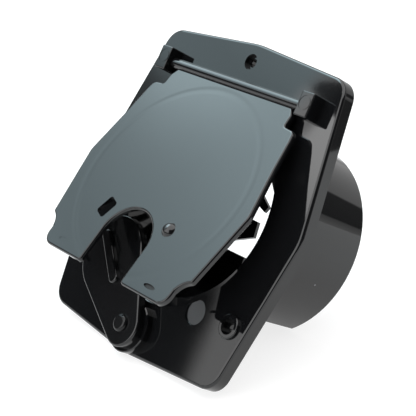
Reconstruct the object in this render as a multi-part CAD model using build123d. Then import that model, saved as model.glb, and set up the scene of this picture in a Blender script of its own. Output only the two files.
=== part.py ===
from build123d import *
import math
import os

# Power cord hatch, installed upright in a vertical wall. Millimetres.
# Frame: +Z up, the outside of the wall towards -Y, the collar goes into the wall along +Y.
# Origin: collar axis on the plane of the flange's back face.

# ---- flange ----
FL_T = 7.4            # flange face stands this far in front of the wall
FL_PLATE = 2.6        # thickness of the flange's face
FL_SKIRT = 2.8        # thickness of its rim
FL_OUT = [(0, 83.0), (66.6, 78.1), (80.7, 0.9), (66.6, -78.5), (0, -84.0), (-66.6, -78.5), (-80.7, 0.9), (-66.6, 78.1)]
R_CORNER = 10.5
R_PEAK = 60.0
R_SIDE = 25.0
R_EDGE = 1.5
R_RECESS = 55.3       # round recess for the door's sealing rib
Y_RECESS = -2.0
R_RING = 58.0
# ---- collar ----
R_COL = 52.4
R_COL_END = 51.7
R_BORE = 49.9
L_COL = 65.3
L_COL_STRAIGHT = 20.0
Z_CUT = -41.0         # the collar's bottom is flattened to this level
Y_CUT = 22.0          # from here to its inner end
T_STEP = 2.5          # wall of that step
# ---- cord fingers at the collar's inner end ----
FIN_T = 2.0
FIN_R = 20.5
FIN_C = (0.0, 1.3)
FINGERS = [(155.0, 10.9), (190.6, 24.7), (122.5, 24.7), (90.0, 10.9), (57.5, 24.7), (25.0, 10.9), (-10.6, 24.7)]
SHELF_Z = -18.5
SHELF_X = 19.0
# ---- hinge ----
HY, HZ = -10.9, 60.0
OPEN = 15.9           # the door stands this far open at rest
R_PIN = 1.5
R_BARREL = 2.8
BARREL_X0, BARREL_X1 = -49.0, 49.8
BLK_X0, BLK_X1 = 50.2, 58.5
BLK_Z0, BLK_Z1 = 54.65, 66.95
BLK_Y = -15.8
# ---- door (drawn closed) ----
DY = -10.9            # outer face, level with the hinge axis
D_T = 2.2             # face thickness
D_SKIRT = 2.95        # depth of the rim lip
D_WALL = 1.9
R_DOOR_EDGE = 1.15
DZ0 = 59.3            # level from which the outline's depths are counted
NOTCH_R = 17.0
NOTCH_Z = -35.0
BOTTOM_Z = -54.7
RIB_RO, RIB_RI, RIB_Y = 54.6, 53.2, -4.6
STOP_X, STOP_Z, STOP_R, STOP_H = 23.6, -21.2, 3.9, 2.3
SLOT_C = (-24.2, -24.45)
STUD = (36.0, -49.0)
# ---- screw bosses, catch recesses ----
SCREW = (61.0, -47.4)
SCREW_TOP = 73.2
SCREW_R = 2.3
SCREW_HEAD_R = 4.1
Y_SINK = -5.2         # level of the screw heads' seats
BOSS_R = 6.1
BOSS_Y = -8.9
POCKET_R = 6.3
# ---- cord gate ----
GP = (0.0, -70.5)     # pivot
GATE_Y0, GATE_Y1 = -11.3, -15.7
GATE_NOSE = 11.7
GATE_LEN = 38.8
GATE_R = 21.7
GATE_TURN = 46.0      # it stands this far to the left of upright at rest
GBOSS_R = 13.6
GBOSS_Y = -11.15
RIVET_R = 2.4
RIVET_HEAD = 4.6

os.makedirs("parts", exist_ok=True)


def on(y):
    return Plane(origin=(0, y, 0), x_dir=(1, 0, 0), z_dir=(0, -1, 0))


def slab(sk, y_back, y_front):
    return extrude(on(y_back) * sk, amount=y_back - y_front)


def poly(pts):
    return make_face(Polyline(*[(p[0], p[1]) for p in pts], close=True))


def round_at(sk, pts, r):
    vs = [min(sk.vertices(), key=lambda v, p=p: (v.X - p[0]) ** 2 + (v.Y - p[1]) ** 2) for p in pts]
    return fillet(vs, r)


def front_edges(solid, y, tol=0.01):
    return [e for e in solid.edges() if abs(e.bounding_box().min.Y - y) < tol and abs(e.bounding_box().max.Y - y) < tol]


# =============== base: one moulding ===============
outline = poly(FL_OUT)
outline = round_at(outline, [p for p in FL_OUT if abs(p[0]) == 66.6], R_CORNER)
outline = round_at(outline, [(0, 83.0), (0, -84.0)], R_PEAK)
outline = round_at(outline, [(80.7, 0.9), (-80.7, 0.9)], R_SIDE)
gboss = Pos(*GP) * Circle(GBOSS_R)

shell = slab(outline, 0, -FL_T)
shell = fillet(front_edges(shell, -FL_T), R_EDGE)
inner = offset(outline, amount=-FL_SKIRT, kind=Kind.INTERSECTION)
shell -= slab(inner, 1, -FL_T + FL_PLATE)

# ring behind the opening, and the collar
shell += slab(Circle(R_RING), 0, -FL_T + FL_PLATE - 0.5)
shell += slab(gboss, 0, GBOSS_Y + 0.6)
gb_top = slab(gboss, GBOSS_Y + 0.6, GBOSS_Y)
gb_top = chamfer(front_edges(gb_top, GBOSS_Y), 0.5)
shell += gb_top
collar_prof = Polyline((R_BORE - 3, -1.0), (R_COL, -1.0), (R_COL, L_COL_STRAIGHT), (R_COL_END, L_COL), (R_BORE - 3, L_COL), close=True)
shell += revolve(make_face(collar_prof), axis=Axis.Y)
rear = slab(Circle(R_BORE - 1), L_COL - FIN_T, Y_RECESS - 1)
shell -= slab(Circle(R_RECESS), Y_RECESS, -FL_T - 1)
shell -= slab(Circle(R_BORE), L_COL + 1, -FL_T - 1)
shell -= extrude(on(-FL_T + 0.5) * Circle(R_RECESS), amount=1.0, taper=-45)

# ribs between the collar and the rim, behind the face
ribs = Sketch()
for a in (22, 62, 118, 158, 202, 236, 304, 338):
    rad = math.radians(a)
    ribs += Pos(70 * math.cos(rad), 70 * math.sin(rad)) * Rot(0, 0, a) * Rectangle(40, 1.8)
ribs = (ribs & inner) - Circle(R_RING - 0.5)
shell += slab(ribs, -0.8, -FL_T + FL_PLATE - 0.3)

# cord fingers and shelf across the collar's inner end
fing = Sketch()
for mid, wid in FINGERS:
    a0, a1 = math.radians(mid - wid / 2), math.radians(mid + wid / 2)
    pts = []
    for r, a in ((FIN_R, a0), (56, a0), (56, a1), (FIN_R, a1)):
        pts.append((FIN_C[0] + r * math.cos(a), FIN_C[1] + r * math.sin(a)))
    fing += poly(pts)
shelf = Pos(0, -34) * Rectangle(110, 2 * (34 + SHELF_Z)) - Pos(0, -30) * Rectangle(2 * SHELF_X, 60)
shelf &= Pos(0, (SHELF_Z + Z_CUT) / 2) * Rectangle(110, SHELF_Z - Z_CUT)
fing = (fing + shelf) & Circle(R_BORE + 1.0)
shell += slab(fing, L_COL, L_COL - FIN_T)

# the collar's bottom is a flat step towards its inner end, closed by a wall of its own
step = make_face(Plane.YZ * Polyline((Y_CUT - T_STEP, -60), (Y_CUT - T_STEP, Z_CUT - 3.0 + T_STEP), (L_COL, Z_CUT + T_STEP),
                                     (L_COL, -60), close=True))
shell += extrude(step, amount=45, both=True) & slab(Circle(R_BORE + 0.6), L_COL, 0)
cut = make_face(Plane.YZ * Polyline((L_COL + 2, Z_CUT + 0.14), (Y_CUT, Z_CUT - 3.0), (Y_CUT, -60), (L_COL + 2, -60), close=True))
shell -= extrude(cut, amount=45, both=True)

# hinge blocks with their round mould mark
for s in (1, -1):
    xc = s * (BLK_X0 + BLK_X1) / 2
    blk = Pos(xc, (BLK_Y - FL_T + 1) / 2 , (BLK_Z0 + BLK_Z1) / 2) * Box(BLK_X1 - BLK_X0, -BLK_Y - FL_T + 1, BLK_Z1 - BLK_Z0)
    sides = [e for e in blk.edges() if abs(e.bounding_box().size.Y) > 5]
    blk = fillet(sides, 0.7)
    blk = fillet(front_edges(blk, BLK_Y), 0.6)
    mark = Pos(xc + 0.3, (BLK_Z0 + BLK_Z1) / 2 + 0.6)
    blk -= slab(mark * (Circle(3.7) - Circle(3.2)), BLK_Y + 0.2, BLK_Y - 1)
    shell += blk
# bored through the left block, blind in the right one
shell -= Pos(-6.0, HY, HZ) * Rot(0, 90, 0) * Cylinder(R_PIN, 126.6)

# screw bosses with sunk heads, top screw hole, catch recesses, gate pivot hole
for s in (1, -1):
    c = (s * SCREW[0], SCREW[1])
    col = slab(Pos(*c) * Circle(BOSS_R), 0, BOSS_Y)
    col = fillet(front_edges(col, BOSS_Y), 0.7)
    shell += col
    shell -= slab(Pos(*c) * Circle(SCREW_HEAD_R), Y_SINK, BOSS_Y - 1)
    shell -= slab(Pos(*c) * Circle(SCREW_R), 1, -FL_T - 3)
    p = (s * STUD[0], STUD[1])
    shell -= slab(Pos(*p) * Circle(POCKET_R), -FL_T + 1.0, -FL_T - 1)
    shell -= extrude(on(-FL_T + 0.35) * Pos(*p) * Circle(POCKET_R), amount=1.0, taper=-45)
c = (0, SCREW_TOP)
shell += slab(Pos(*c) * Circle(BOSS_R), 0, -FL_T + 1)
shell -= slab(Pos(*c) * Circle(SCREW_HEAD_R), Y_SINK, -FL_T - 1)
shell -= slab(Pos(*c) * Circle(SCREW_R), 1, -FL_T - 3)
shell -= slab(Pos(*GP) * Circle(RIVET_R), 0.5, GBOSS_Y - 1)

# one moulding, kept as touching solids: the flange, its middle stretch with the top screw hole, the collar, and
# the shelf and fingers across the collar's inner end
big = 400
front = Pos(0, -big / 2, 0) * Box(big, big, big)
socket = revolve(make_face(Polyline((R_BORE - 1, 0), (R_COL, 0), (R_BORE - 1, -1.4), close=True)), axis=Axis.Y)
flange = (shell & front) - socket
tongue = Pos(0, -big / 2, 58.0 + big / 2) * Box(18.0, big, big)
flange_top = flange & tongue
flange = flange - tongue
rear_part = (shell - front) + (shell & socket)
guard_zone = slab(Circle(R_BORE), L_COL + 1, L_COL - FIN_T)
guard = rear_part & guard_zone
collar = rear_part - guard_zone
base = Compound(children=[s for part in (flange, flange_top, collar, guard) for s in part.solids()])

# =============== door: one moulding, drawn closed ===============
half = [(0, -0.9), (44.0, -0.9), (44.4, 1.6), (47.0, 5.4), (47.3, 11.6), (54.9, 12.4), (56.3, 18.0), (58.7, 33.5), (63.9, 59.8),
        (57.6, 99.0), (57.6, 105.0), (51.0, 105.0), (51.0, DZ0 - BOTTOM_Z)]
pts = [(x, DZ0 - d) for x, d in half[1:]] + [(NOTCH_R, BOTTOM_Z), (NOTCH_R, NOTCH_Z)]
right = poly([(0, DZ0 + 0.9)] + pts + [(0, NOTCH_Z)])
right = round_at(right, [(51.0, BOTTOM_Z)], 6.0)
right = round_at(right, [(NOTCH_R, BOTTOM_Z)], 2.0)
right = round_at(right, [(54.9, DZ0 - 12.4)], 3.4)
right = round_at(right, [(47.3, DZ0 - 11.6)], 1.2)
right = round_at(right, [(47.0, DZ0 - 5.4)], 1.5)
right = round_at(right, [(63.9, DZ0 - 59.8)], 9.0)
right -= Pos(SCREW[0], SCREW[1] - 0.7) * Circle(10.0)
door_sk = right + mirror(right, about=Plane.YZ)
door_sk -= Pos(0, NOTCH_Z) * Circle(NOTCH_R)
# take the sharp tips where the scallops meet the sides
tips = [v for v in door_sk.vertices() if abs(abs(v.X) - 58.0) < 3.0 and -42 < v.Y < -33]
door_sk = fillet(tips, 1.5)

body = slab(door_sk, DY + D_SKIRT, DY)
body = fillet(front_edges(body, DY), R_DOOR_EDGE)
low = front_edges(body, DY + D_SKIRT)
body = chamfer(low, 0.3)
hollow = offset(door_sk, amount=-D_WALL, kind=Kind.INTERSECTION)
keep = Pos(0, 56.8) * Rectangle(96, 5.0)
body -= slab(hollow - keep, DY + D_SKIRT + 1, DY + D_T)
# annular sealing rib, broken by the notch
ring = Circle(RIB_RO) - Circle(RIB_RI)
ring &= offset(door_sk, amount=-0.3, kind=Kind.INTERSECTION)
body += slab(ring, RIB_Y, DY + D_T - 0.2)
# stiffening ribs under the face
stiff = Pos(0, 30) * Rectangle(80, 1.4) + Pos(0, 5) * Rectangle(100, 1.4) + Pos(26, -2) * Rectangle(1.4, 96) + Pos(-26, 2) * Rectangle(1.4, 60)
stiff &= Circle(RIB_RI + 0.3)
stiff &= offset(door_sk, amount=-1.0, kind=Kind.INTERSECTION)
body += slab(stiff, DY + D_SKIRT - 0.1, DY + D_T - 0.2)
# catch studs that drop in the flange's round recesses
for s in (1, -1):
    body += slab(Pos(s * STUD[0], STUD[1]) * SlotOverall(5.6, 3.0), -6.9, DY + D_T - 0.2)
# hinge barrel along the top edge
body += Pos((BARREL_X0 + BARREL_X1) / 2, HY, HZ) * Rot(0, 90, 0) * Cylinder(R_BARREL, BARREL_X1 - BARREL_X0)
body -= Pos(0, HY, HZ) * Rot(0, 90, 0) * Cylinder(R_PIN + 0.06, 140)
# slot beside the notch and the hole for the stop pin
slot = Pos(*SLOT_C) * Rot(0, 0, -20.8) * RectangleRounded(7.4, 10.6, 1.6)
body -= slab(slot, DY + 6, DY - 1)
body -= slab(Pos(STOP_X, STOP_Z) * Circle(1.6), DY + 6, DY - 1)
# moulding sinks over the studs, the right one deeper
for s, deep in ((1, 0.8), (-1, 0.15)):
    body -= slab(Pos(s * STUD[0], STUD[1] - 0.3) * Ellipse(4.1, 1.2), DY + deep, DY - 1)

r_dome = (STOP_R ** 2 + STOP_H ** 2) / (2 * STOP_H)
stop = Pos(STOP_X, DY - STOP_H + r_dome, STOP_Z) * Sphere(r_dome) & slab(Pos(STOP_X, STOP_Z) * Circle(STOP_R + 1), DY, DY - STOP_H - 1)
stop += slab(Pos(STOP_X, STOP_Z) * Circle(1.6), DY + 4.0, DY - 0.5)

hinge_axis = Axis((0, HY, HZ), (-1, 0, 0))
door = body.rotate(hinge_axis, OPEN)
stop_pin = stop.rotate(hinge_axis, OPEN)

# =============== hinge pin ===============
hinge_pin = Pos(-0.6, HY, HZ) * Rot(0, 90, 0) * Cylinder(R_PIN, 115.6)
hinge_pin = chamfer(hinge_pin.edges(), 0.3)

# =============== cord gate, drawn upright ===============
sa = math.asin((GATE_R - GATE_NOSE) / GATE_LEN)
ca, sn = math.cos(sa), math.sin(sa)
trap = poly([(GATE_NOSE * ca, -GATE_NOSE * sn), (GATE_R * ca, GATE_LEN - GATE_R * sn),
             (-GATE_R * ca, GATE_LEN - GATE_R * sn), (-GATE_NOSE * ca, -GATE_NOSE * sn)])
drop = trap + Circle(GATE_NOSE) + Pos(0, GATE_LEN) * Circle(GATE_R)
drop = make_face(drop.faces()[0].outer_wire()) if len(drop.faces()) == 1 else drop
g = slab(Pos(*GP) * drop, GATE_Y0, GATE_Y1)
g = fillet(front_edges(g, GATE_Y1), 1.1)
under = offset(drop, amount=-2.2, kind=Kind.ARC) - Circle(8.5) - Pos(0, 36) * Rectangle(1.6, 60)
g -= slab(Pos(*GP) * under, GATE_Y0 + 1, GATE_Y0 - 2.0)
grip = slab(Pos(GP[0] + 0.3, GP[1] + 38.0) * Rot(0, 0, 90) * SlotOverall(31.0, 5.8), GATE_Y1 + 0.2, GATE_Y1 - 1.9)
grip = fillet(front_edges(grip, GATE_Y1 - 1.9), 0.9)
g += grip
g -= slab(Pos(*GP) * Circle(RIVET_R + 0.06), 0, -25)
cord_gate = g.rotate(Axis((GP[0], 0, GP[1]), (0, -1, 0)), GATE_TURN)

piv = slab(Pos(*GP) * Circle(RIVET_HEAD), GATE_Y1 - 0.1, GATE_Y1 - 1.9)
piv = fillet(front_edges(piv, GATE_Y1 - 1.9), 1.6)
piv += slab(Pos(*GP) * Circle(RIVET_R), -0.6, GATE_Y1 - 0.6)
gate_pivot = piv

for name, shape in (("base", base), ("door", door), ("hinge_pin", hinge_pin), ("cord_gate", cord_gate),
                    ("gate_pivot", gate_pivot), ("stop_pin", stop_pin)):
    export_step(shape, f"parts/{name}.step")
    b = shape.bounding_box()
    print(name, len(shape.solids()), round(shape.volume, 1), [round(v, 1) for v in (*b.min, *b.max)])
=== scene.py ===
import bpy
import math
from mathutils import Vector, Matrix

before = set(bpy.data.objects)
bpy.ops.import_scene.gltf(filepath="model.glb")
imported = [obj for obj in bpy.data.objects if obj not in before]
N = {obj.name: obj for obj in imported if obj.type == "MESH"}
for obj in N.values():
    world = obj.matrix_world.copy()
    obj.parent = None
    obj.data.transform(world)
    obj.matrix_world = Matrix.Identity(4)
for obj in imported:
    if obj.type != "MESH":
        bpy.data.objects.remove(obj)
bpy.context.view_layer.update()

sc = bpy.context.scene
MM = 0.001
UP = Vector((0.0, -0.518, 0.855)).normalized()      # the table's upward normal: the hatch leans back on it
OPEN = math.radians(15.9)
HY, HZ = -10.9 * MM, 60.0 * MM

# ------------------------------------------------------------------ camera
cam_d = bpy.data.cameras.new("camera")
cam = bpy.data.objects.new("camera", cam_d)
sc.collection.objects.link(cam)
sc.camera = cam
right = Vector((0.61897, 0.67223, 0.40619)).normalized()
fwd = Vector((-0.73291, 0.68026, -0.00897)).normalized()
up = right.cross(fwd).normalized()
right = fwd.cross(up).normalized()
m = Matrix((right, up, -fwd)).transposed().to_4x4()
m.translation = Vector((507.03, -464.33, 4.58)) * MM
cam.matrix_world = m
cam_d.sensor_fit = "HORIZONTAL"
cam_d.sensor_width = 36.0
cam_d.lens = 36.0 * 1378.22 / 416.0
cam_d.clip_start = 0.01
cam_d.clip_end = 20.0

sc.view_settings.view_transform = "Standard"
sc.view_settings.look = "None"
sc.view_settings.exposure = 0.0
sc.view_settings.gamma = 1.0


# ------------------------------------------------------------------ node helpers
class Tree:
    def __init__(self, tree):
        self.t = tree
        self.t.nodes.clear()

    def n(self, kind, **kw):
        node = self.t.nodes.new(kind)
        for k, v in kw.items():
            setattr(node, k, v)
        return node

    def l(self, a, b):
        self.t.links.new(a, b)

    def math(self, op, a, b=None, c=None, clamp=False):
        node = self.n("ShaderNodeMath", operation=op)
        node.use_clamp = clamp
        for i, v in enumerate((a, b, c)):
            if v is None:
                continue
            if isinstance(v, (int, float)):
                node.inputs[i].default_value = v
            else:
                self.l(v, node.inputs[i])
        return node.outputs[0]

    def vmath(self, op, a, b=None):
        node = self.n("ShaderNodeVectorMath", operation=op)
        for i, v in enumerate((a, b)):
            if v is None:
                continue
            if isinstance(v, (tuple, list, Vector)):
                node.inputs[i].default_value = tuple(v)
            else:
                self.l(v, node.inputs[i])
        return node.outputs["Value"] if op in ("DOT_PRODUCT", "LENGTH", "DISTANCE") else node.outputs[0]

    def smooth(self, v, a, b, lo=0.0, hi=1.0):
        node = self.n("ShaderNodeMapRange", interpolation_type="SMOOTHSTEP")
        self.l(v, node.inputs["Value"])
        node.inputs["From Min"].default_value = a
        node.inputs["From Max"].default_value = b
        node.inputs["To Min"].default_value = lo
        node.inputs["To Max"].default_value = hi
        return node.outputs[0]

    def lin(self, v, a, b, lo, hi):
        node = self.n("ShaderNodeMapRange", interpolation_type="LINEAR")
        self.l(v, node.inputs["Value"])
        for k, x in (("From Min", a), ("From Max", b), ("To Min", lo), ("To Max", hi)):
            node.inputs[k].default_value = x
        return node.outputs[0]

    def mixc(self, f, a, b):
        node = self.n("ShaderNodeMix", data_type="RGBA")
        if isinstance(f, (int, float)):
            node.inputs[0].default_value = f
        else:
            self.l(f, node.inputs[0])
        for i, v in ((6, a), (7, b)):
            if isinstance(v, tuple):
                node.inputs[i].default_value = (*v, 1.0) if len(v) == 3 else v
            else:
                self.l(v, node.inputs[i])
        return node.outputs[2]


# ------------------------------------------------------------------ world: plain soft studio
world = bpy.data.worlds.new("studio")
sc.world = world
world.use_nodes = True
W = Tree(world.node_tree)
tc = W.n("ShaderNodeTexCoord")
d = W.vmath("NORMALIZE", tc.outputs["Generated"])
EX = Vector((1.0, 0.0, 0.0))
EF = (UP.cross(EX) * -1.0).normalized()                        # level, pointing away from the wall


def toward(az, el):
    az, el = math.radians(az), math.radians(el)
    return (EX * math.sin(az) + EF * math.cos(az)) * math.cos(el) + UP * math.sin(el)


dx = W.vmath("DOT_PRODUCT", d, tuple(EX))
df = W.vmath("DOT_PRODUCT", d, tuple(EF))
h = W.vmath("DOT_PRODUCT", d, tuple(UP))
az = W.math("MULTIPLY", W.math("ARCTAN2", dx, df), 180.0 / math.pi)      # degrees, 0 = out of the wall, negative to the left
el = W.math("MULTIPLY", W.math("ARCSINE", h), 180.0 / math.pi)


def band(v, a0, a1, b0, b1):
    return W.math("MULTIPLY", W.smooth(v, a0, a1), W.smooth(v, b0, b1, 1.0, 0.0))


# a white room above and below the table level
room = W.math("ADD", W.smooth(el, -6.0, 2.0, 1.0, 0.35), W.smooth(el, 44.0, 50.0, 0.0, 2.2))
# the dark gap between the table and the soft boxes
slant = W.math("MULTIPLY_ADD", W.math("SUBTRACT", el, 16.0), 0.45, az)
dark = W.math("MULTIPLY", band(el, 1.0, 5.0, 17.5, 21.5), band(slant, -100.0, -85.0, -47.6, -46.6))
room = W.math("MULTIPLY", room, W.math("SUBTRACT", 1.0, W.math("MULTIPLY", dark, 0.9)))
# big soft box at the left, brighter upwards
big = W.math("MULTIPLY", band(el, 18.0, 24.0, 58.0, 68.0), band(az, -125.0, -105.0, -52.9, -51.6))
glow = W.math("MULTIPLY", W.smooth(az, -74.0, -69.0, 1.6, 0.0), band(el, 33.0, 36.5, 38.0, 41.5))
upper = W.math("ADD", W.smooth(el, 36.0, 39.0, 0.0, 0.25), W.smooth(el, 41.0, 45.0, 0.0, 0.95))
ramp = W.math("ADD", W.lin(el, 25.0, 43.0, 0.12, 3.9), W.math("ADD", glow, upper))
lvl = W.math("ADD", room, W.math("MULTIPLY", big, ramp))
# its lower right corner shines more
corner = W.math("MULTIPLY", band(el, 21.5, 23.5, 27.5, 32.0), band(az, -80.0, -68.0, -51.6, -50.8))
lvl = W.math("ADD", lvl, W.math("MULTIPLY", corner, 1.25))
near = W.math("MULTIPLY", band(el, 21.5, 24.0, 26.5, 26.75), band(az, -52.8, -52.1, -51.2, -50.6))
lvl = W.math("ADD", lvl, W.math("MULTIPLY", near, 0.9))
# narrow strip light just to the right of it
strip = W.math("MULTIPLY", band(el, 17.5, 20.0, 26.5, 26.75), band(az, -51.2, -50.6, -44.5, -42.0))
sramp = W.smooth(el, 19.0, 26.0, 1.3, 3.9)
lvl = W.math("ADD", lvl, W.math("MULTIPLY", strip, sramp))
# its pale foot, down to the table
foot = W.math("MULTIPLY", band(el, 3.0, 8.0, 17.5, 20.0), band(slant, -47.6, -46.6, -40.0, -34.0))
lvl = W.math("ADD", lvl, W.math("MULTIPLY", foot, 1.45))
# the room behind the wall, with one dark piece in it
back = W.math("MULTIPLY", band(el, -1.0, 2.0, 22.0, 34.0), W.smooth(W.math("ABSOLUTE", az), 115.0, 130.0))
lvl = W.math("ADD", lvl, W.math("MULTIPLY", back, 0.45))
bar = W.math("MULTIPLY", band(el, -0.5, 0.5, 9.0, 10.0), band(az, 150.0, 152.0, 169.0, 171.0))
lvl = W.math("MULTIPLY", lvl, W.math("SUBTRACT", 1.0, W.math("MULTIPLY", bar, 0.85)))
# and a low dark thing behind the table's far edge
low = W.math("MULTIPLY", band(el, -14.0, -12.0, -1.0, 3.0), band(az, 118.0, 124.0, 144.3, 145.5))
lvl = W.math("MULTIPLY", lvl, W.math("SUBTRACT", 1.0, W.math("MULTIPLY", low, 0.85)))
# dark post between the two, above the strip
post_az = W.math("SUBTRACT", az, W.lin(el, 27.1, 28.1, 0.0, 1.0))
post = W.math("MULTIPLY", band(el, 26.5, 26.7, 38.0, 44.0), band(post_az, -52.22, -52.08, -41.0, -38.0))
lvl = W.math("MULTIPLY", lvl, W.math("SUBTRACT", 1.0, W.math("MULTIPLY", post, 0.93)))
# a window to the right of it, then a dark side wall
window = W.math("MULTIPLY", band(el, 7.0, 12.0, 44.0, 50.0), band(az, -39.0, -34.0, 18.0, 26.0))
lvl = W.math("ADD", lvl, W.math("MULTIPLY", window, 2.2))
sidewall = W.math("MULTIPLY", band(el, -12.0, -8.0, 46.0, 52.0), band(az, 26.0, 32.0, 112.0, 122.0))
lvl = W.math("MULTIPLY", lvl, W.math("SUBTRACT", 1.0, W.math("MULTIPLY", sidewall, 0.85)))
tint = W.mixc(big, (1.0, 1.0, 1.0), (0.79, 1.0, 1.07))
vm = W.n("ShaderNodeVectorMath", operation="SCALE")
W.l(tint, vm.inputs[0])
W.l(lvl, vm.inputs["Scale"])
bg = W.n("ShaderNodeBackground")
W.l(vm.outputs[0], bg.inputs["Color"])
white = W.n("ShaderNodeBackground")
white.inputs["Color"].default_value = (1, 1, 1, 1)
white.inputs["Strength"].default_value = 1.05
lp = W.n("ShaderNodeLightPath")
mx = W.n("ShaderNodeMixShader")
W.l(lp.outputs["Is Camera Ray"], mx.inputs[0])
W.l(bg.outputs[0], mx.inputs[1])
W.l(white.outputs[0], mx.inputs[2])
out = W.n("ShaderNodeOutputWorld")
W.l(mx.outputs[0], out.inputs["Surface"])


# ------------------------------------------------------------------ floor, seen from above only
def floor_piece():
    origin = Vector((0.0, -5.0 * MM, -84.9 * MM))
    a = Vector((1, 0, 0))
    b = UP.cross(a).normalized()
    me = bpy.data.meshes.new("floor")
    n = 2
    r = 1.05
    verts = []
    for i in range(48):
        t = 2 * math.pi * i / 48
        verts.append(origin + a * (r * math.cos(t)) + b * (r * math.sin(t)))
    me.from_pydata([tuple(v) for v in verts], [], [tuple(range(48))])
    me.update()
    if me.polygons[0].normal.dot(UP) < 0:
        me.flip_normals()
    o = bpy.data.objects.new("floor", me)
    sc.collection.objects.link(o)
    mat = bpy.data.materials.new("floor_white")
    mat.use_nodes = True
    T = Tree(mat.node_tree)
    dif = T.n("ShaderNodeBsdfDiffuse")
    dif.inputs["Color"].default_value = (0.28, 0.28, 0.28, 1)
    tr = T.n("ShaderNodeBsdfTransparent")
    geo = T.n("ShaderNodeNewGeometry")
    mix = T.n("ShaderNodeMixShader")
    em = T.n("ShaderNodeEmission")
    em.inputs["Color"].default_value = (1, 1, 1, 1)
    em.inputs["Strength"].default_value = 0.80
    add = T.n("ShaderNodeAddShader")
    T.l(dif.outputs[0], add.inputs[0])
    T.l(em.outputs[0], add.inputs[1])
    T.l(geo.outputs["Backfacing"], mix.inputs[0])
    T.l(add.outputs[0], mix.inputs[1])
    T.l(tr.outputs[0], mix.inputs[2])
    o2 = T.n("ShaderNodeOutputMaterial")
    T.l(mix.outputs[0], o2.inputs["Surface"])
    me.materials.append(mat)
    return o


floor_piece()


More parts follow.
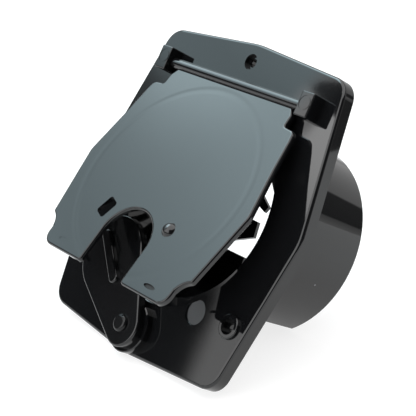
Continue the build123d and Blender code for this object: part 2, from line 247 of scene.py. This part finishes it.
# ------------------------------------------------------------------ materials
def plastic(name, rough=0.09, ring=False, specks=0.0, seed=0.0, discs=False, spec=0.5):
    mat = bpy.data.materials.new(name)
    mat.use_nodes = True
    T = Tree(mat.node_tree)
    p = T.n("ShaderNodeBsdfPrincipled")
    o = T.n("ShaderNodeOutputMaterial")
    T.l(p.outputs[0], o.inputs["Surface"])
    tc = T.n("ShaderNodeTexCoord")
    co = tc.outputs["Object"]
    off = T.n("ShaderNodeMapping")
    off.inputs["Location"].default_value = (seed, seed * 0.7, -seed)
    T.l(co, off.inputs["Vector"])
    co2 = off.outputs[0]
    # flow clouds in the moulding's gloss, centimetres across
    n1 = T.n("ShaderNodeTexNoise")
    n1.inputs["Scale"].default_value = 38.0
    n1.inputs["Detail"].default_value = 3.0
    T.l(co2, n1.inputs["Vector"])
    # fine surface grain
    n2 = T.n("ShaderNodeTexNoise")
    n2.inputs["Scale"].default_value = 900.0
    n2.inputs["Detail"].default_value = 2.0
    T.l(co2, n2.inputs["Vector"])
    r = T.math("MULTIPLY_ADD", n1.outputs["Fac"], 0.05, rough - 0.025)
    r = T.math("MULTIPLY_ADD", n2.outputs["Fac"], 0.015, r)
    # sparse dust specks
    v = T.n("ShaderNodeTexVoronoi")
    v.inputs["Scale"].default_value = 95.0
    T.l(co2, v.inputs["Vector"])
    sp = T.smooth(v.outputs["Distance"], 0.035, 0.055, 1.0, 0.0)
    w = T.n("ShaderNodeTexWhiteNoise", noise_dimensions="3D")
    T.l(v.outputs["Position"], w.inputs["Vector"])
    sel = T.smooth(w.outputs["Value"], 0.93, 0.935)
    dust = T.math("MULTIPLY", sp, sel)
    dust = T.math("MULTIPLY", dust, specks)
    col = T.mixc(dust, (0.0045, 0.0047, 0.0052), (0.20, 0.21, 0.22))
    if discs:
        # the floors of the two catch recesses were left dull by the mould
        sep = T.n("ShaderNodeSeparateXYZ")
        T.l(co, sep.inputs[0])
        px = T.math("SUBTRACT", T.math("ABSOLUTE", sep.outputs[0]), 36.0 * MM)
        pz = T.math("ADD", sep.outputs[2], 49.0 * MM)
        rad = T.math("SQRT", T.math("ADD", T.math("MULTIPLY", px, px), T.math("MULTIPLY", pz, pz)))
        disc = T.math("LESS_THAN", rad, 6.1 * MM)
        flat = T.math("LESS_THAN", T.math("ABSOLUTE", T.math("ADD", sep.outputs[1], 6.4 * MM)), 0.15 * MM)
        disc = T.math("MULTIPLY", disc, flat)
        col = T.mixc(disc, col, (0.036, 0.038, 0.041))
        r = T.math("MULTIPLY_ADD", disc, 0.22, r)
    T.l(col, p.inputs["Base Color"])
    r = T.math("MULTIPLY_ADD", dust, 0.5, r)
    T.l(r, p.inputs["Roughness"])
    p.inputs["IOR"].default_value = 1.52
    p.inputs["Specular IOR Level"].default_value = spec
    # very slight waviness of the moulded face
    wv = T.n("ShaderNodeTexNoise")
    wv.inputs["Scale"].default_value = 22.0
    wv.inputs["Detail"].default_value = 1.0
    T.l(co2, wv.inputs["Vector"])
    height = T.math("MULTIPLY", wv.outputs["Fac"], 0.00012)
    height = T.math("MULTIPLY_ADD", n2.outputs["Fac"], 0.0000015, height)
    bump = T.n("ShaderNodeBump")
    bump.inputs["Strength"].default_value = 0.35
    bump.inputs["Distance"].default_value = 1.0
    if ring:
        # moulding sink over the sealing rib under the face
        th = OPEN
        down = Vector((0, -math.sin(th), -math.cos(th)))
        c = Vector((0, HY, HZ)) + down * (60.0 * MM)
        q = T.vmath("SUBTRACT", co, tuple(c))
        dx = T.vmath("DOT_PRODUCT", q, (1, 0, 0))
        dd = T.vmath("DOT_PRODUCT", q, tuple(down))
        rr = T.math("SQRT", T.math("ADD", T.math("MULTIPLY", dx, dx), T.math("MULTIPLY", dd, dd)))
        e = T.math("ABSOLUTE", T.math("SUBTRACT", rr, 53.9 * MM))
        sink = T.smooth(e, 0.0, 2.6 * MM, -0.00009, 0.0)
        height = T.math("ADD", height, sink)
        # the deeper sink over the right stud is dull inside
        ex = T.math("DIVIDE", T.math("SUBTRACT", dx, 36.0 * MM), 4.1 * MM)
        ed = T.math("DIVIDE", T.math("SUBTRACT", dd, 49.3 * MM), 1.2 * MM)
        er = T.math("ADD", T.math("MULTIPLY", ex, ex), T.math("MULTIPLY", ed, ed))
        r = T.math("MULTIPLY_ADD", T.math("LESS_THAN", er, 1.0), 0.6, r)
        T.l(r, p.inputs["Roughness"])
    T.l(height, bump.inputs["Height"])
    T.l(bump.outputs[0], p.inputs["Normal"])
    return mat


def coated_steel(name):
    mat = bpy.data.materials.new(name)
    mat.use_nodes = True
    T = Tree(mat.node_tree)
    p = T.n("ShaderNodeBsdfPrincipled")
    o = T.n("ShaderNodeOutputMaterial")
    T.l(p.outputs[0], o.inputs["Surface"])
    tc = T.n("ShaderNodeTexCoord")
    n1 = T.n("ShaderNodeTexNoise")
    mp = T.n("ShaderNodeMapping")
    mp.inputs["Scale"].default_value = (120.0, 900.0, 900.0)
    T.l(tc.outputs["Object"], mp.inputs["Vector"])
    T.l(mp.outputs[0], n1.inputs["Vector"])
    n1.inputs["Scale"].default_value = 1.0
    n1.inputs["Detail"].default_value = 3.0
    T.l(T.mixc(n1.outputs["Fac"], (0.008, 0.008, 0.009), (0.018, 0.018, 0.019)), p.inputs["Base Color"])
    T.l(T.math("MULTIPLY_ADD", n1.outputs["Fac"], 0.12, 0.26), p.inputs["Roughness"])
    return mat


def give(node, mat):
    me = N[node].data
    me.materials.clear()
    me.materials.append(mat)


give("base", plastic("base_plastic", 0.03, specks=1.0, seed=0.3, discs=True))
give("door", plastic("door_plastic", 0.085, ring=True, specks=0.6, seed=0.9))
give("cord_gate", plastic("gate_plastic", 0.09, specks=0.6, seed=1.7))
give("gate_pivot", plastic("rivet_plastic", 0.14, seed=2.1, spec=0.28))
give("stop_pin", plastic("stop_plastic", 0.08, seed=2.6))
give("hinge_pin", coated_steel("pin_steel"))
